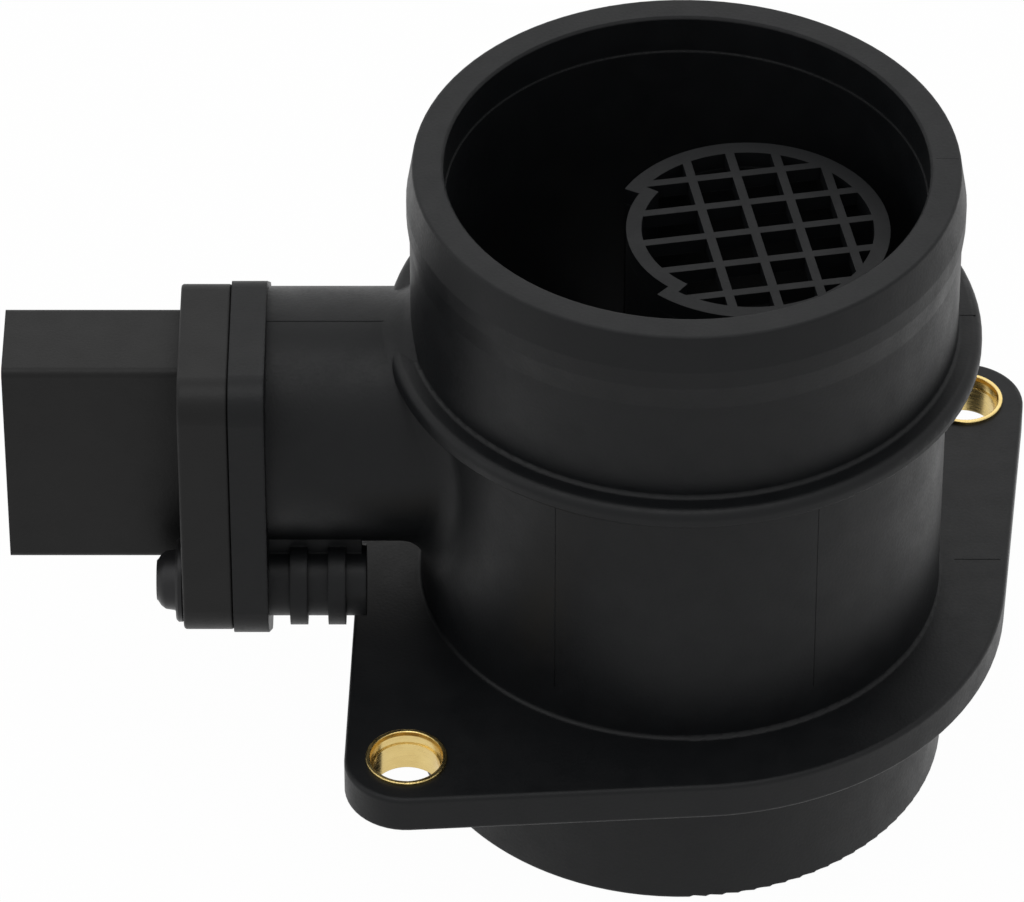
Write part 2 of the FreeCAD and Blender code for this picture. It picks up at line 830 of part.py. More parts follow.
# Screws

def make_screw(label, place):
    """A dome-headed screw with its washer face on the plate."""
    washer_x = f"{PLATE_X} - screw_washer"
    tip_x = f"{PLATE_X} - screw_washer - screw_dome"
    washer = rod(f"{label}_washer", "screw_washer_r", washer_x, PLATE_X, place)
    dome = rod(f"{label}_dome", "screw_dome_r", tip_x, washer_x, place)
    tip = value(tip_x)

    def is_crown(edge):
        return edge.BoundBox.XMax < tip + NEAR

    soft_dome = rounded(f"{label}_dome_soft", dome, "screw_dome_round", is_crown)
    shank = rod(f"{label}_shank", "screw_r - bush_fit", PLATE_X, "joint_x + screw_grip", place)
    drive = doc.addObject("Part::Prism", f"{label}_drive")
    drive.Polygon = 6
    drive.setExpression("Circumradius", bound("screw_socket_r"))
    drive.setExpression("Height", bound("screw_socket_depth + overrun"))
    drive.Placement.Rotation = FreeCAD.Rotation(Vector(0, 1, 0), 90)
    move(drive, f"{tip_x} - overrun", *place)
    blank = fuse(f"{label}_blank", [washer, soft_dome, shank])
    name_part(cut(f"{label}_turned", blank, [drive]), label)


# Inner duct and grid

def sector_ring(name, outer, inner, half_angle, z, height):
    """A ring's sector, centred on the recess that faces the blade."""
    pieces = []
    for kind, radius, extra in (("outer", outer, 0), ("inner", inner, 1)):
        place = ("duct_x", 0, f"({z}) - {extra} * overrun")
        piece = cylinder(f"{name}_{kind}", radius, f"({height}) + 2 * {extra} * overrun", place)
        piece.setExpression("Angle", bound(f"2 * ({half_angle} + {extra} * overrun)"))
        turn_about_z(piece, f"180 + duct_turn - ({half_angle}) - {extra} * overrun")
        pieces.append(piece)
    return cut(name, pieces[0], [pieces[1]])


def duct_disc(name, z, height):
    """A disc with the recess cut into its rim."""
    disc = cylinder(f"{name}_disc", "duct_r", height, ("duct_x", 0, z))
    low = f"({z}) - overrun"
    tall = f"({height}) + 2 * overrun"
    recess = sector_ring(f"{name}_recess", "duct_r + overrun", DUCT_BORE_R, "duct_recess_half", low, tall)
    return cut(name, disc, [recess])


def duct_hole(name, z, height):
    """The opening inside the stepped wall."""
    hole = cylinder(f"{name}_round", DUCT_BORE_R, height, ("duct_x", 0, z))
    half = "duct_recess_half + duct_recess_lap"
    low = f"({z}) - overrun"
    tall = f"({height}) + 2 * overrun"
    inner = f"{DUCT_BORE_R} - duct_recess"
    kept = sector_ring(f"{name}_kept", f"{DUCT_BORE_R} + overrun", inner, half, low, tall)
    return cut(name, hole, [kept])


def grid_bars():
    """The lattice: rows along the duct's turned axis, columns a quarter turn from them."""
    bars = []
    rows = [("row", "duct_turn", number, number) for number in GRID_ROWS]
    columns = [("column", "(duct_turn + 90)", number, -number) for number in GRID_COLUMNS]
    for kind, turn, number, rank in rows + columns:
        sign = 1 if kind == "row" else -1
        side = f"({sign} * grid_{kind}_offset + {rank} * grid_{kind}_pitch)"
        start = (
            f"duct_x - duct_r * cos({turn}) - {side} * sin({turn})",
            f"{side} * cos({turn}) - duct_r * sin({turn})",
            f"{GRID_TOP} - grid_bar_height",
        )
        label = f"grid_{kind}_{len(bars) + 1}"
        bars.append(strip(label, "duct_r * 2", "grid_bar", "grid_bar_height", start, turn))
    return fuse("grid_bars", bars)


def make_grid():
    blank = duct_disc("grid_blank", DUCT_TOP, "grid_thick")
    hole = duct_hole("grid_hole", f"{DUCT_TOP} - overrun", "grid_thick + 2 * overrun")
    rim = cut("grid_rim", blank, [hole])
    lattice = common("grid_lattice", grid_bars(), duct_disc("grid_limit", DUCT_TOP, "grid_thick"))
    name_part(fuse("grid_moulding", [rim, lattice]), "flow_grid")


def make_duct():
    """The measuring duct, held by its webs in a ring that seats in the lower spigot."""
    outside = duct_disc("duct_blank", "duct_bottom", f"{DUCT_TOP} - duct_bottom")
    seat_r = "bore_r - seat_fit"
    seat = cylinder("seat_outside", seat_r, "seat_height", (0, 0, "seat_bottom"))
    seat_place = (0, 0, "seat_bottom - overrun")
    seat_hole = cylinder("seat_inside", f"{seat_r} - seat_wall", "seat_height + 2 * overrun", seat_place)
    web_height = "(web_top - seat_bottom)"
    webs = []
    for number in range(WEB_COUNT):
        angle = f"{number} * 360 / {WEB_COUNT}"
        start = ("duct_x", "0", "seat_bottom")
        webs.append(strip(f"web_{number + 1}", "bore_r * 2", "web_thick", web_height, start, angle))
    limit = cylinder("web_limit", seat_r, web_height, (0, 0, "seat_bottom"))
    web_set = common("web_set", fuse("web_star", webs), limit)
    solid = fuse("duct_solid", [outside, cut("seat_ring", seat, [seat_hole]), web_set])
    window_y = either_side("blade_half_width + duct_window_fit")
    window_z = "blade_half_height + duct_window_fit"
    window = blade_box("blade_window", ("-1 * bore_r", "duct_x"), window_y, window_z)
    through = duct_hole("duct_hole", "seat_bottom - overrun", f"{DUCT_TOP} - seat_bottom + 2 * overrun")
    name_part(cut("duct_moulding", solid, [through, window]), "measuring_duct")


# Building and writing

def build_all():
    fill_sheet()
    make_housing()
    make_bush("left")
    make_bush("right")
    numbers = range(PIN_COUNT)
    make_sensor_body([pin_shape(f"pin_{number + 1}_cavity", number) for number in numbers])
    for number in numbers:
        name_part(pin_shape(f"pin_{number + 1}_strip", number), f"contact_pin_{number + 1}")
    make_seal()
    make_circuit()
    make_film_element()
    make_temperature_sensor()
    make_screw("front_screw", FRONT_SCREW)
    make_screw("rear_screw", REAR_SCREW)
    make_grid()
    make_duct()
    doc.recompute()


def check_all():
    for item in doc.Objects:
        if "Invalid" in item.State or "Error" in item.State:
            raise RuntimeError(f"{item.Name} failed: {item.State}")
    for part in PARTS:
        if part.Shape.isNull() or not part.Shape.isValid():
            raise RuntimeError(f"{part.Label} has no valid shape")


def write_all():
    os.makedirs("parts", exist_ok=True)
    for part in PARTS:
        part.Shape.exportStep(f"parts/{part.Label}.step")
        print(part.Label, len(part.Shape.Solids), round(part.Shape.Volume, 1))


build_all()
check_all()
write_all()
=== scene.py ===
"""Finishes, small details and a studio for a mass airflow sensor."""

import math

import bpy
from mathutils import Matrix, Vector


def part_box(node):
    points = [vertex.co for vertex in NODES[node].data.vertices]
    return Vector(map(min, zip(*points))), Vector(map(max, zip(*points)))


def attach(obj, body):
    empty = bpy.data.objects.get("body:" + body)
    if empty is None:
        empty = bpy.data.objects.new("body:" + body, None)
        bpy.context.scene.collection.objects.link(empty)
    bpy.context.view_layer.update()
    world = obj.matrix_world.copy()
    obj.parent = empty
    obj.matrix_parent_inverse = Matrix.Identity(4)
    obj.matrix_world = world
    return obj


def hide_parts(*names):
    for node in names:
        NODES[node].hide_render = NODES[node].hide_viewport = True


bl_info = {
    "name": "Mass airflow sensor",
    "version": (1, 0, 0),
    "blender": (4, 5, 0),
    "location": "View3D > Sidebar > Airflow",
    "description": "Finishes, small details and a studio for a mass airflow sensor",
    "category": "Object",
}

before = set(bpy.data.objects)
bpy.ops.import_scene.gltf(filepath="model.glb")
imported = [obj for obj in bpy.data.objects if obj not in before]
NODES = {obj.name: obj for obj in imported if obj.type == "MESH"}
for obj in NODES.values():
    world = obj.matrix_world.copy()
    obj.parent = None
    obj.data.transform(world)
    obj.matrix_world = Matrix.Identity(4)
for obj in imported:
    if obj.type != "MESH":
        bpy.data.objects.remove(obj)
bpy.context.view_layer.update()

# kept low, so that a final render takes under 5 minutes
GRAIN_DETAIL = 1.0
EDGE_SAMPLES = 2

# each screw's Y and Z in the CAD, in metres
SCREW_AXIS = {"front_screw": (-0.0125, 0.03585), "rear_screw": (0.0125, 0.052)}
SHANK_RADIUS = 0.0019
HEAD_TALL = 0.0036
RECESS_LOBES = 6
LOBE_DEPTH = 0.13

# the housing's surfaces that carry parting lines, in metres
BODY_RADIUS = 0.0345
BODY_LINE_TURN = math.radians(29.3)
NECK_TOP = 0.07065
SOCKET_FLANGE_TOP = 0.0721
RIM_TOP = 0.0955
WAIST_RADIUS = 0.0356
COLLAR_TOP = 0.0696
BASE_FLANGE_THICK = 0.0055
SEAM_Y = 0.0012

# the fitted camera, and how much of the floor's seen light is its own
CAMERA_PLACE = (-0.02239, -0.8073, 0.7268)
CAMERA_TILT = math.radians(49.92)
CAMERA_LENS = 281.25
SENSOR_WIDTH = 36.0
FLOOR_SEEN = 0.98


# Node helpers

def new_group(name, inputs, outputs):
    """An empty shader group with its sockets; inputs are (name, type, default)."""
    tree = bpy.data.node_groups.new(name, "ShaderNodeTree")
    for title, kind, default in inputs:
        socket = tree.interface.new_socket(title, in_out="INPUT", socket_type=kind)
        socket.default_value = default
    for title, kind in outputs:
        tree.interface.new_socket(title, in_out="OUTPUT", socket_type=kind)
    return tree, tree.nodes.new("NodeGroupInput"), tree.nodes.new("NodeGroupOutput")


def add_node(tree, kind, **values):
    node = tree.nodes.new(kind)
    for key, value in values.items():
        setattr(node, key, value)
    return node


def math_node(tree, operation, first, second):
    node = add_node(tree, "ShaderNodeMath", operation=operation)
    for socket, value in zip(node.inputs, (first, second)):
        if isinstance(value, (int, float)):
            socket.default_value = value
        else:
            tree.links.new(value, socket)
    return node.outputs[0]


def noise(tree, vector, scale, detail):
    """A noise pattern; scale is a socket or a number of repeats in a metre."""
    node = add_node(tree, "ShaderNodeTexNoise")
    node.inputs["Detail"].default_value = detail
    tree.links.new(vector, node.inputs["Vector"])
    if isinstance(scale, (int, float)):
        node.inputs["Scale"].default_value = scale
    else:
        tree.links.new(scale, node.inputs["Scale"])
    return node.outputs["Fac"]


def mix_value(tree, mask, low, high):
    node = add_node(tree, "ShaderNodeMapRange")
    tree.links.new(mask, node.inputs["Value"])
    node.inputs["From Min"].default_value = 0.3
    node.inputs["From Max"].default_value = 0.7
    tree.links.new(low, node.inputs["To Min"])
    tree.links.new(high, node.inputs["To Max"])
    return node.outputs["Result"]


def mix_colour(tree, mask, first, second):
    node = add_node(tree, "ShaderNodeMix", data_type="RGBA")
    tree.links.new(mask, node.inputs["Factor"])
    tree.links.new(first, node.inputs["A"])
    tree.links.new(second, node.inputs["B"])
    return node.outputs["Result"]


# Shared effects

def make_moulded_grain():
    """Fine spark grain with a slow drift in shade and gloss, as on moulded nylon."""
    tree, given, result = new_group(
        "moulded_grain",
        [("Dark", "NodeSocketColor", (0.01, 0.01, 0.01, 1)),
         ("Light", "NodeSocketColor", (0.02, 0.02, 0.02, 1)),
         ("Gloss side", "NodeSocketFloat", 0.4), ("Matt side", "NodeSocketFloat", 0.5),
         ("Grains per metre", "NodeSocketFloat", 2600.0)],
        [("Colour", "NodeSocketColor"), ("Roughness", "NodeSocketFloat"), ("Height", "NodeSocketFloat")],
    )
    place = add_node(tree, "ShaderNodeTexCoord").outputs["Object"]
    drift = noise(tree, place, 45.0, GRAIN_DETAIL)
    patches = noise(tree, place, 260.0, GRAIN_DETAIL)
    grain = noise(tree, place, given.outputs["Grains per metre"], GRAIN_DETAIL)
    shade = mix_colour(tree, drift, given.outputs["Dark"], given.outputs["Light"])
    tree.links.new(shade, result.inputs["Colour"])
    both = math_node(tree, "MULTIPLY", math_node(tree, "ADD", patches, grain), 0.5)
    gloss = mix_value(tree, both, given.outputs["Gloss side"], given.outputs["Matt side"])
    tree.links.new(gloss, result.inputs["Roughness"])
    tree.links.new(grain, result.inputs["Height"])
    return tree


def make_turned_lines():
    """Fine lathe lines round a vertical axis, with a slight tarnish."""
    tree, given, result = new_group(
        "turned_lines",
        [("Bright", "NodeSocketColor", (0.8, 0.6, 0.3, 1)),
         ("Tarnished", "NodeSocketColor", (0.6, 0.42, 0.16, 1)),
         ("Gloss side", "NodeSocketFloat", 0.18), ("Matt side", "NodeSocketFloat", 0.32)],
        [("Colour", "NodeSocketColor"), ("Roughness", "NodeSocketFloat"), ("Height", "NodeSocketFloat")],
    )
    place = add_node(tree, "ShaderNodeTexCoord").outputs["Object"]
    stretch = add_node(tree, "ShaderNodeMapping")
    stretch.inputs["Scale"].default_value = (0.08, 0.08, 1.0)
    tree.links.new(place, stretch.inputs["Vector"])
    lines = noise(tree, stretch.outputs["Vector"], 4200.0, 2.0)
    spots = noise(tree, place, 420.0, 3.0)
    shade = mix_colour(tree, spots, given.outputs["Bright"], given.outputs["Tarnished"])
    tree.links.new(shade, result.inputs["Colour"])
    gloss = mix_value(tree, lines, given.outputs["Gloss side"], given.outputs["Matt side"])
    tree.links.new(gloss, result.inputs["Roughness"])
    tree.links.new(lines, result.inputs["Height"])
    return tree


def finish_material(name, group, colours, gloss, relief, edge, metallic=0.0, specular=0.5, grains=None):
    """A material on a shared effect: colours and gloss are pairs, relief and edge are in metres."""
    material = bpy.data.materials.new(name)
    material.use_nodes = True
    tree = material.node_tree
    shader = tree.nodes["Principled BSDF"]
    shader.inputs["Metallic"].default_value = metallic
    shader.inputs["Specular IOR Level"].default_value = specular
    effect = add_node(tree, "ShaderNodeGroup", node_tree=group)
    for socket, colour in zip(effect.inputs, colours):
        socket.default_value = (*colour, 1.0)
    effect.inputs["Gloss side"].default_value = gloss[0]
    effect.inputs["Matt side"].default_value = gloss[1]
    if grains is not None:
        effect.inputs["Grains per metre"].default_value = grains
    tree.links.new(effect.outputs["Colour"], shader.inputs["Base Color"])
    tree.links.new(effect.outputs["Roughness"], shader.inputs["Roughness"])
    bump = add_node(tree, "ShaderNodeBump")
    bump.inputs["Distance"].default_value = relief
    tree.links.new(effect.outputs["Height"], bump.inputs["Height"])
    if edge > 0.0:
        soft = add_node(tree, "ShaderNodeBevel", samples=EDGE_SAMPLES)
        soft.inputs["Radius"].default_value = edge
        tree.links.new(soft.outputs["Normal"], bump.inputs["Normal"])
    tree.links.new(bump.outputs["Normal"], shader.inputs["Normal"])
    material.diffuse_color = (*colours[0], 1.0)
    return material


def paint(material, *names):
    """Give CAD nodes a finish through their material slots."""
    for name in names:
        for place in NODES[name].material_slots:
            place.material = material


# Modelling helpers

def start_piece():
    if bpy.context.object is not None and bpy.context.object.mode != "OBJECT":
        bpy.ops.object.mode_set(mode="OBJECT")
    bpy.ops.object.select_all(action="DESELECT")


def settle(piece, material):
    """Put a piece's place into its mesh, then give it its finish, slot and body."""
    bpy.ops.object.select_all(action="DESELECT")
    piece.select_set(True)
    bpy.context.view_layer.objects.active = piece
    bpy.ops.object.transform_apply(location=True, rotation=True, scale=True)
    piece.data.materials.clear()
    piece.data.materials.append(material)
    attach(piece, "root")
    piece.select_set(False)
    return piece


def apply_bevel(piece, width, segments):
    bevel = piece.modifiers.new("edges", "BEVEL")
    bevel.width = width
    bevel.segments = segments
    bevel.limit_method = "ANGLE"
    bevel.angle_limit = math.radians(40)
    bpy.context.view_layer.objects.active = piece
    bpy.ops.object.modifier_apply(modifier=bevel.name)


def add_bar(name, size, place, turn=0.0):
    """A thin raised line: a block with rounded long edges; turn is round Z."""
    start_piece()
    bpy.ops.mesh.primitive_cube_add(size=1.0, location=place, rotation=(0, 0, turn))
    bar = bpy.context.object
    bar.name = name
    bar.scale = size
    bpy.ops.object.transform_apply(location=False, rotation=False, scale=True)
    apply_bevel(bar, min(size) * 0.35, 2)
    return bar


def join_bars(name, bars):
    bpy.ops.object.select_all(action="DESELECT")
    for bar in bars:
        bar.select_set(True)
    bpy.context.view_layer.objects.active = bars[0]
    bpy.ops.object.join()
    bars[0].name = name
    return bars[0]


# Settings

class AirflowHousingSettings(bpy.types.PropertyGroup):
    shade: bpy.props.FloatVectorProperty(
        name="Housing shade", description="Darker shade of the moulded plastic", subtype="COLOR",
        size=3, min=0.0, max=1.0, default=(0.0026, 0.0030, 0.0036))
    light_shade: bpy.props.FloatVectorProperty(
        name="Housing light shade", description="Lighter shade of the moulded plastic", subtype="COLOR",
        size=3, min=0.0, max=1.0, default=(0.0042, 0.0047, 0.0054))
    gloss: bpy.props.FloatProperty(
        name="Housing roughness", description="Middle roughness of the moulded plastic",
        min=0.1, max=0.9, default=0.44, subtype="FACTOR")
    grain_depth: bpy.props.FloatProperty(
        name="Grain depth", description="Depth of the spark grain", default=0.000016,
        min=0.0, max=0.0002, unit="LENGTH", precision=6)
    edge_round: bpy.props.FloatProperty(
        name="Edge round", description="Radius of the small rounds on the edges", default=0.00035,
        min=0.0, max=0.002, unit="LENGTH", precision=5)


class AirflowBushSettings(bpy.types.PropertyGroup):
    bright: bpy.props.FloatVectorProperty(
        name="Brass", description="Clean brass", subtype="COLOR",
        size=3, min=0.0, max=1.0, default=(0.78, 0.61, 0.26))
    tarnished: bpy.props.FloatVectorProperty(
        name="Tarnished brass", description="Brass that has dulled a little", subtype="COLOR",
        size=3, min=0.0, max=1.0, default=(0.62, 0.45, 0.17))


class AirflowScrewSettings(bpy.types.PropertyGroup):
    washer_radius: bpy.props.FloatProperty(
        name="Washer radius", description="Outer radius of the head's flange", default=0.00555,
        min=0.003, max=0.01, unit="LENGTH", precision=5)
    head_radius: bpy.props.FloatProperty(
        name="Head radius", description="Radius at the foot of the head's dome", default=0.0040,
        min=0.002, max=0.008, unit="LENGTH", precision=5)
    recess_radius: bpy.props.FloatProperty(
        name="Recess radius", description="Middle radius of the six-lobed recess", default=0.0021,
        min=0.001, max=0.004, unit="LENGTH", precision=5)
    recess_depth: bpy.props.FloatProperty(
        name="Recess depth", description="Depth of the six-lobed recess", default=0.0016,
        min=0.0005, max=0.004, unit="LENGTH", precision=5)


class AirflowLineSettings(bpy.types.PropertyGroup):
    width: bpy.props.FloatProperty(
        name="Line width", description="Width of the mould's parting lines", default=0.00016,
        min=0.00005, max=0.001, unit="LENGTH", precision=5)
    height: bpy.props.FloatProperty(
        name="Line height", description="How far the parting lines stand out", default=0.00006,
        min=0.00001, max=0.0005, unit="LENGTH", precision=5)


class AirflowStageSettings(bpy.types.PropertyGroup):
    floor_shade: bpy.props.FloatVectorProperty(
        name="Floor shade", description="Colour of the floor", subtype="COLOR",
        size=3, min=0.0, max=1.0, default=(0.86, 0.86, 0.86))
    sky_level: bpy.props.FloatProperty(
        name="Sky level", description="Strength of the even light from all round", default=0.5,
        min=0.0, max=2.0)
    back_light: bpy.props.FloatProperty(
        name="Back light", description="Power of the soft light above and behind", default=1.6,
        min=0.0, max=50.0, unit="POWER")
    top_light: bpy.props.FloatProperty(
        name="Top light", description="Power of the soft light overhead", default=4.8,
        min=0.0, max=50.0, unit="POWER")
    side_light: bpy.props.FloatProperty(
        name="Side light", description="Power of the soft light at the left", default=1.6,
        min=0.0, max=50.0, unit="POWER")


# Operators

class AIRFLOW_OT_housing_finish(bpy.types.Operator):
    """Give the housing and the sensor body their grained black plastic"""

    bl_idname = "airflow.housing_finish"
    bl_label = "Housing finish"

    def execute(self, context):
        settings = context.scene.airflow_housing
        grain = bpy.data.node_groups.get("moulded_grain") or make_moulded_grain()
        colours = (tuple(settings.shade), tuple(settings.light_shade))
        gloss = (settings.gloss - 0.05, settings.gloss + 0.07)
        housing = finish_material(
            "housing_nylon", grain, colours, gloss, settings.grain_depth, settings.edge_round,
            specular=0.205, grains=2400.0)
        paint(housing, "housing")
        neutral = ((0.0030, 0.0030, 0.0030), (0.0047, 0.0047, 0.0047))
        body = finish_material(
            "sensor_body_nylon", grain, neutral, (settings.gloss - 0.02, settings.gloss + 0.08),
            settings.grain_depth, settings.edge_round, specular=0.23, grains=2900.0)
        paint(body, "sensor_body", "bypass_cover", "electronics_cover")
        # painted shade: the measuring duct sits deep in the bore, so it gets a darker copy of the
        # housing's plastic shades
        bore_shade_colours = (tuple(0.7 * part for part in settings.shade), tuple(settings.shade))
        inner = finish_material(
            "duct_nylon", grain, bore_shade_colours, (0.5, 0.62), settings.grain_depth, settings.edge_round,
            specular=0.18, grains=2600.0)
        paint(inner, "measuring_duct")
        lattice = finish_material(
            "lattice_nylon", grain, colours, (0.42, 0.54), settings.grain_depth, 0.00015,
            specular=0.18, grains=2600.0)
        paint(lattice, "flow_grid")
        rubber = finish_material(
            "seal_rubber", grain, ((0.008, 0.008, 0.008), (0.014, 0.014, 0.014)), (0.6, 0.72),
            0.00001, 0.0, specular=0.3, grains=1800.0)
        paint(rubber, "stem_seal")
        return {"FINISHED"}


class AIRFLOW_OT_metal_finish(bpy.types.Operator):
    """Give the bushes, contacts and the inner plate their turned and stamped metal"""

    bl_idname = "airflow.metal_finish"
    bl_label = "Metal finish"

    def execute(self, context):
        settings = context.scene.airflow_bush
        turned = bpy.data.node_groups.get("turned_lines") or make_turned_lines()
        brass = finish_material(
            "bush_brass", turned, (tuple(settings.bright), tuple(settings.tarnished)), (0.16, 0.30),
            0.000002, 0.00012, metallic=1.0)
        paint(brass, "left_bush", "right_bush")
        tinned = finish_material(
            "contact_tin", turned, ((0.72, 0.71, 0.68), (0.58, 0.56, 0.52)), (0.22, 0.36),
            0.000004, 0.00005, metallic=1.0)
        paint(tinned, *[f"contact_pin_{number}" for number in range(1, 6)])
        rolled = finish_material(
            "plate_metal", turned, ((0.66, 0.67, 0.69), (0.56, 0.57, 0.58)), (0.3, 0.42),
            0.000004, 0.00005, metallic=1.0)
        paint(rolled, "base_plate")
        return {"FINISHED"}


class AIRFLOW_OT_circuit_finish(bpy.types.Operator):
    """Give the sealed circuit and the measuring chip their plain finishes"""

    bl_idname = "airflow.circuit_finish"
    bl_label = "Circuit finish"

    def execute(self, context):
        grain = bpy.data.node_groups.get("moulded_grain") or make_moulded_grain()
        finishes = [
            ("circuit_ceramic", ((0.78, 0.79, 0.77), (0.86, 0.87, 0.85)), (0.4, 0.5), ["circuit_board"]),
            ("chip_epoxy", ((0.02, 0.02, 0.021), (0.03, 0.03, 0.031)), (0.45, 0.55), ["control_chip"]),
            ("capacitor_body", ((0.40, 0.31, 0.20), (0.50, 0.40, 0.28)), (0.4, 0.5),
             ["capacitor_1", "capacitor_2"]),
            ("carrier_resin", ((0.56, 0.55, 0.49), (0.62, 0.61, 0.55)), (0.45, 0.55), ["chip_carrier"]),
            ("film_glass", ((0.08, 0.09, 0.13), (0.12, 0.13, 0.18)), (0.12, 0.2), ["sensor_chip"]),
            ("bead_resin", ((0.13, 0.08, 0.04), (0.19, 0.13, 0.07)), (0.25, 0.35),
             ["temperature_sensor"]),
        ]
        for name, colours, gloss, nodes in finishes:
            material = finish_material(name, grain, colours, gloss, 0.000003, 0.0, grains=3000.0)
            paint(material, *nodes)
        return {"FINISHED"}


class AIRFLOW_OT_screws(bpy.types.Operator):
    """Model both flange screws with a domed head and a six-lobed recess"""

    bl_idname = "airflow.screws"
    bl_label = "Flange screws"

    def execute(self, context):
        settings = context.scene.airflow_screw
        grain = bpy.data.node_groups.get("moulded_grain") or make_moulded_grain()
        coating = finish_material(
            "screw_coating", grain, ((0.010, 0.010, 0.011), (0.018, 0.018, 0.019)), (0.32, 0.46),
            0.000004, 0.00012, metallic=0.6, grains=3400.0)
        for node, (y, z) in SCREW_AXIS.items():
            low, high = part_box(node)
            centre = Vector((high.x, y, z))
            start_piece()
            bpy.ops.mesh.primitive_circle_add(
                vertices=48, radius=SHANK_RADIUS, fill_type="NGON", location=centre,
                rotation=(0, -math.pi / 2, 0))
            screw = bpy.context.object
            screw.name = f"{node}_dressed"
            bpy.ops.object.mode_set(mode="EDIT")
            bpy.ops.mesh.select_mode(type="FACE")
            bpy.ops.mesh.select_all(action="SELECT")
            head_start = low.x + HEAD_TALL
            radius = SHANK_RADIUS
            here = high.x
            washer = settings.washer_radius
            head = settings.head_radius
            steps = [
                (head_start, SHANK_RADIUS), (head_start, washer - 0.0002), (head_start - 0.0002, washer),
                (head_start - 0.0007, washer), (head_start - 0.001, washer - 0.0003),
                (head_start - 0.001, head + 0.0002), (head_start - 0.0013, head),
                (low.x + 0.0012, head * 0.96), (low.x + 0.0006, head * 0.85),
                (low.x + 0.0002, head * 0.70), (low.x, settings.recess_radius + 0.0005),
                (low.x, settings.recess_radius),
                (low.x + settings.recess_depth, settings.recess_radius * 0.94),
            ]
            for x, wanted in steps:
                bpy.ops.mesh.extrude_region_move(TRANSFORM_OT_translate={"value": (x - here, 0, 0)})
                if abs(wanted - radius) > 1e-7:
                    grow = wanted / radius
                    bpy.ops.transform.resize(value=(1, grow, grow), center_override=(x, y, z))
                here, radius = x, wanted
            bpy.ops.mesh.select_all(action="SELECT")
            bpy.ops.mesh.normals_make_consistent(inside=False)
            bpy.ops.object.mode_set(mode="OBJECT")
            bpy.ops.object.transform_apply(location=True, rotation=True, scale=True)
            for vertex in screw.data.vertices:
                off = Vector((vertex.co.y - y, vertex.co.z - z))
                in_recess = off.length < settings.recess_radius * 1.02 and vertex.co.x < low.x + 0.002
                if in_recess and off.length > 0.0001:
                    lobe = 1.0 + LOBE_DEPTH * math.cos(RECESS_LOBES * math.atan2(off.y, off.x))
                    vertex.co.y = y + off.x * lobe
                    vertex.co.z = z + off.y * lobe
            start_piece()
            screw.select_set(True)
            bpy.context.view_layer.objects.active = screw
            bpy.ops.object.shade_smooth_by_angle(angle=math.radians(35))
            settle(screw, coating)
            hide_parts(node)
        return {"FINISHED"}


class AIRFLOW_OT_parting_lines(bpy.types.Operator):
    """Add the thin lines that the mould's halves and slides leave on the housing"""

    bl_idname = "airflow.parting_lines"
    bl_label = "Parting lines"

    def execute(self, context):
        settings = context.scene.airflow_lines
        wide, tall = settings.width, settings.height
        bars = []
        for side in (-1, 1):
            angle = side * BODY_LINE_TURN
            out = BODY_RADIUS - 0.5 * wide + tall
            place = (out * math.sin(angle), -out * math.cos(angle), 0.0495)
            bars.append(add_bar(f"body_line_{side + 1}", (wide, wide, 0.0335), place, angle))
        lift = tall - 0.5 * wide
        flange_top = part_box("left_bush")[0].z + BASE_FLANGE_THICK
        rows = [
            ("neck_line", (0.0178, wide, wide), (-0.0454, -0.0013, NECK_TOP + lift)),
            ("plate_line", (0.0042, wide, wide), (-0.0564, -0.003, SOCKET_FLANGE_TOP + lift)),
            ("flange_line", (0.0062, wide, wide), (0.0398, SEAM_Y, flange_top + lift)),
            ("rim_line", (0.0030, wide, wide), (0.0334, SEAM_Y, RIM_TOP - 0.5 * wide + 0.00002)),
            ("waist_line", (wide, wide, 0.0140), (WAIST_RADIUS + lift, SEAM_Y, 0.0772)),
            ("collar_line", (0.0024, wide, wide), (0.0368, SEAM_Y, COLLAR_TOP + lift)),
        ]
        bars += [add_bar(name, size, place) for name, size, place in rows]
        lines = join_bars("parting_lines", bars)
        settle(lines, bpy.data.materials["housing_nylon"])
        return {"FINISHED"}


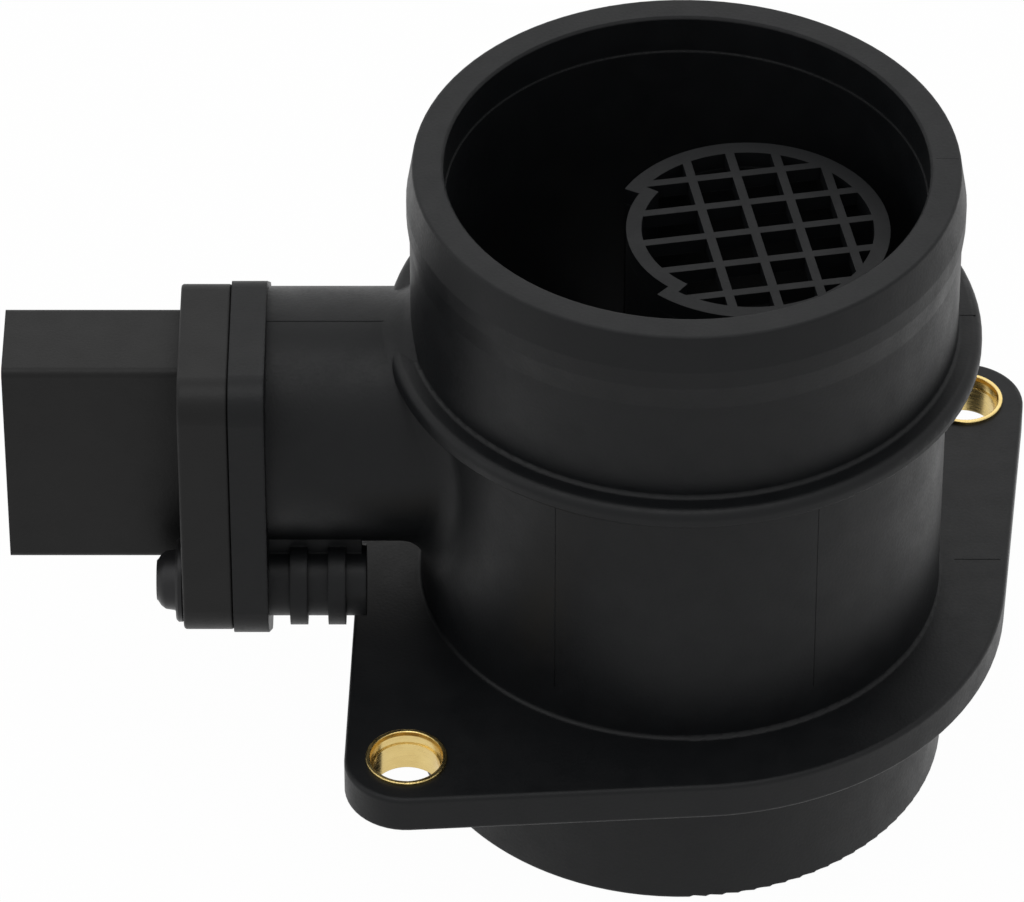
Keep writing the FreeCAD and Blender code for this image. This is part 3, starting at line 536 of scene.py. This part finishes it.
class AIRFLOW_OT_stage(bpy.types.Operator):
    """Set the floor, the soft lights and the camera"""

    bl_idname = "airflow.stage"
    bl_label = "Stage"

    def execute(self, context):
        settings = context.scene.airflow_stage
        start_piece()
        bpy.ops.mesh.primitive_plane_add(size=8.0, location=(0, 0, -0.0001))
        floor = context.object
        floor.name = "floor"
        floor.data.materials.append(self.floor_material(settings))
        lights = [
            self.soft_light(
                "back_light", (0.0, 1.05, 0.95), (0, 0, 0.05), (1.3, 0.8), settings.back_light),
            self.soft_light(
                "top_light", (-0.1, -0.2, 1.3), (-0.03, 0, 0.05), (1.1, 0.8), settings.top_light),
            self.soft_light(
                "side_light", (-1.1, -0.25, 0.7), (-0.02, 0, 0.05), (0.8, 0.8), settings.side_light),
        ]
        self.make_sky(context.scene, settings)
        bpy.ops.object.camera_add(location=CAMERA_PLACE, rotation=(CAMERA_TILT, 0, 0))
        camera = context.object
        camera.name = "camera"
        camera.data.sensor_width = SENSOR_WIDTH
        camera.data.lens = CAMERA_LENS
        camera.data.clip_start = 0.05
        context.scene.camera = camera
        context.scene.view_settings.view_transform = "Standard"
        return {"FINISHED"}

    def floor_material(self, settings):
        """A pale floor that the camera and reflections see nearly white, with its shadow kept."""
        material = bpy.data.materials.new("floor_paper")
        material.use_nodes = True
        tree = material.node_tree
        shader = tree.nodes["Principled BSDF"]
        shader.inputs["Base Color"].default_value = (*settings.floor_shade, 1.0)
        shader.inputs["Roughness"].default_value = 0.9
        shader.inputs["Specular IOR Level"].default_value = 0.1
        glow = add_node(tree, "ShaderNodeEmission")
        glow.inputs["Strength"].default_value = 1.0
        mix = add_node(tree, "ShaderNodeMixShader")
        seen = self.seen_ray(tree)
        share = math_node(tree, "MULTIPLY", seen, FLOOR_SEEN)
        tree.links.new(share, mix.inputs[0])
        tree.links.new(shader.outputs[0], mix.inputs[1])
        tree.links.new(glow.outputs[0], mix.inputs[2])
        tree.links.new(mix.outputs[0], tree.nodes["Material Output"].inputs["Surface"])
        return material

    def seen_ray(self, tree):
        """1 for rays from the camera, a mirror or glass, otherwise 0."""
        path = add_node(tree, "ShaderNodeLightPath")
        first = math_node(tree, "MAXIMUM", path.outputs["Is Camera Ray"], path.outputs["Is Glossy Ray"])
        return math_node(tree, "MAXIMUM", first, path.outputs["Is Transmission Ray"])

    def soft_light(self, name, place, target, size, power):
        bpy.ops.object.light_add(type="AREA", location=place)
        light = bpy.context.object
        light.name = name
        light.data.shape = "RECTANGLE"
        light.data.size, light.data.size_y = size
        light.data.energy = power
        light.rotation_euler = (Vector(target) - Vector(place)).to_track_quat("-Z", "Y").to_euler()
        return light

    def make_sky(self, scene, settings):
        """White behind everything, and an even light at the sky level for the rest."""
        world = bpy.data.worlds.new("studio")
        scene.world = world
        world.use_nodes = True
        tree = world.node_tree
        sky = tree.nodes["Background"]
        sky.inputs["Color"].default_value = (1, 1, 1, 1)
        levels = add_node(tree, "ShaderNodeMapRange")
        tree.links.new(self.seen_ray(tree), levels.inputs["Value"])
        levels.inputs["To Min"].default_value = settings.sky_level
        levels.inputs["To Max"].default_value = 1.0
        tree.links.new(levels.outputs["Result"], sky.inputs["Strength"])


class AIRFLOW_PT_panel(bpy.types.Panel):
    """Lists the pieces and their settings"""

    bl_idname = "AIRFLOW_PT_panel"
    bl_label = "Mass airflow sensor"
    bl_space_type = "VIEW_3D"
    bl_region_type = "UI"
    bl_category = "Airflow"

    def draw(self, context):
        for operator in OPERATORS:
            self.layout.operator(operator.bl_idname)
        for settings in SETTINGS:
            box = self.layout.box()
            group = getattr(context.scene, settings)
            for key in group.bl_rna.properties.keys():
                if key not in {"rna_type", "name"}:
                    box.prop(group, key)


SETTINGS = {
    "airflow_housing": AirflowHousingSettings,
    "airflow_bush": AirflowBushSettings,
    "airflow_screw": AirflowScrewSettings,
    "airflow_lines": AirflowLineSettings,
    "airflow_stage": AirflowStageSettings,
}
OPERATORS = (
    AIRFLOW_OT_housing_finish,
    AIRFLOW_OT_metal_finish,
    AIRFLOW_OT_circuit_finish,
    AIRFLOW_OT_screws,
    AIRFLOW_OT_parting_lines,
    AIRFLOW_OT_stage,
)


def register():
    for name, settings in SETTINGS.items():
        bpy.utils.register_class(settings)
        setattr(bpy.types.Scene, name, bpy.props.PointerProperty(type=settings))
    for item in (*OPERATORS, AIRFLOW_PT_panel):
        bpy.utils.register_class(item)


def unregister():
    for item in reversed((*OPERATORS, AIRFLOW_PT_panel)):
        bpy.utils.unregister_class(item)
    for name, settings in reversed(list(SETTINGS.items())):
        delattr(bpy.types.Scene, name)
        bpy.utils.unregister_class(settings)


def main():
    register()
    bpy.ops.airflow.housing_finish()
    bpy.ops.airflow.metal_finish()
    bpy.ops.airflow.circuit_finish()
    bpy.ops.airflow.screws()
    bpy.ops.airflow.parting_lines()
    bpy.ops.airflow.stage()


if __name__ == "__main__":
    main()
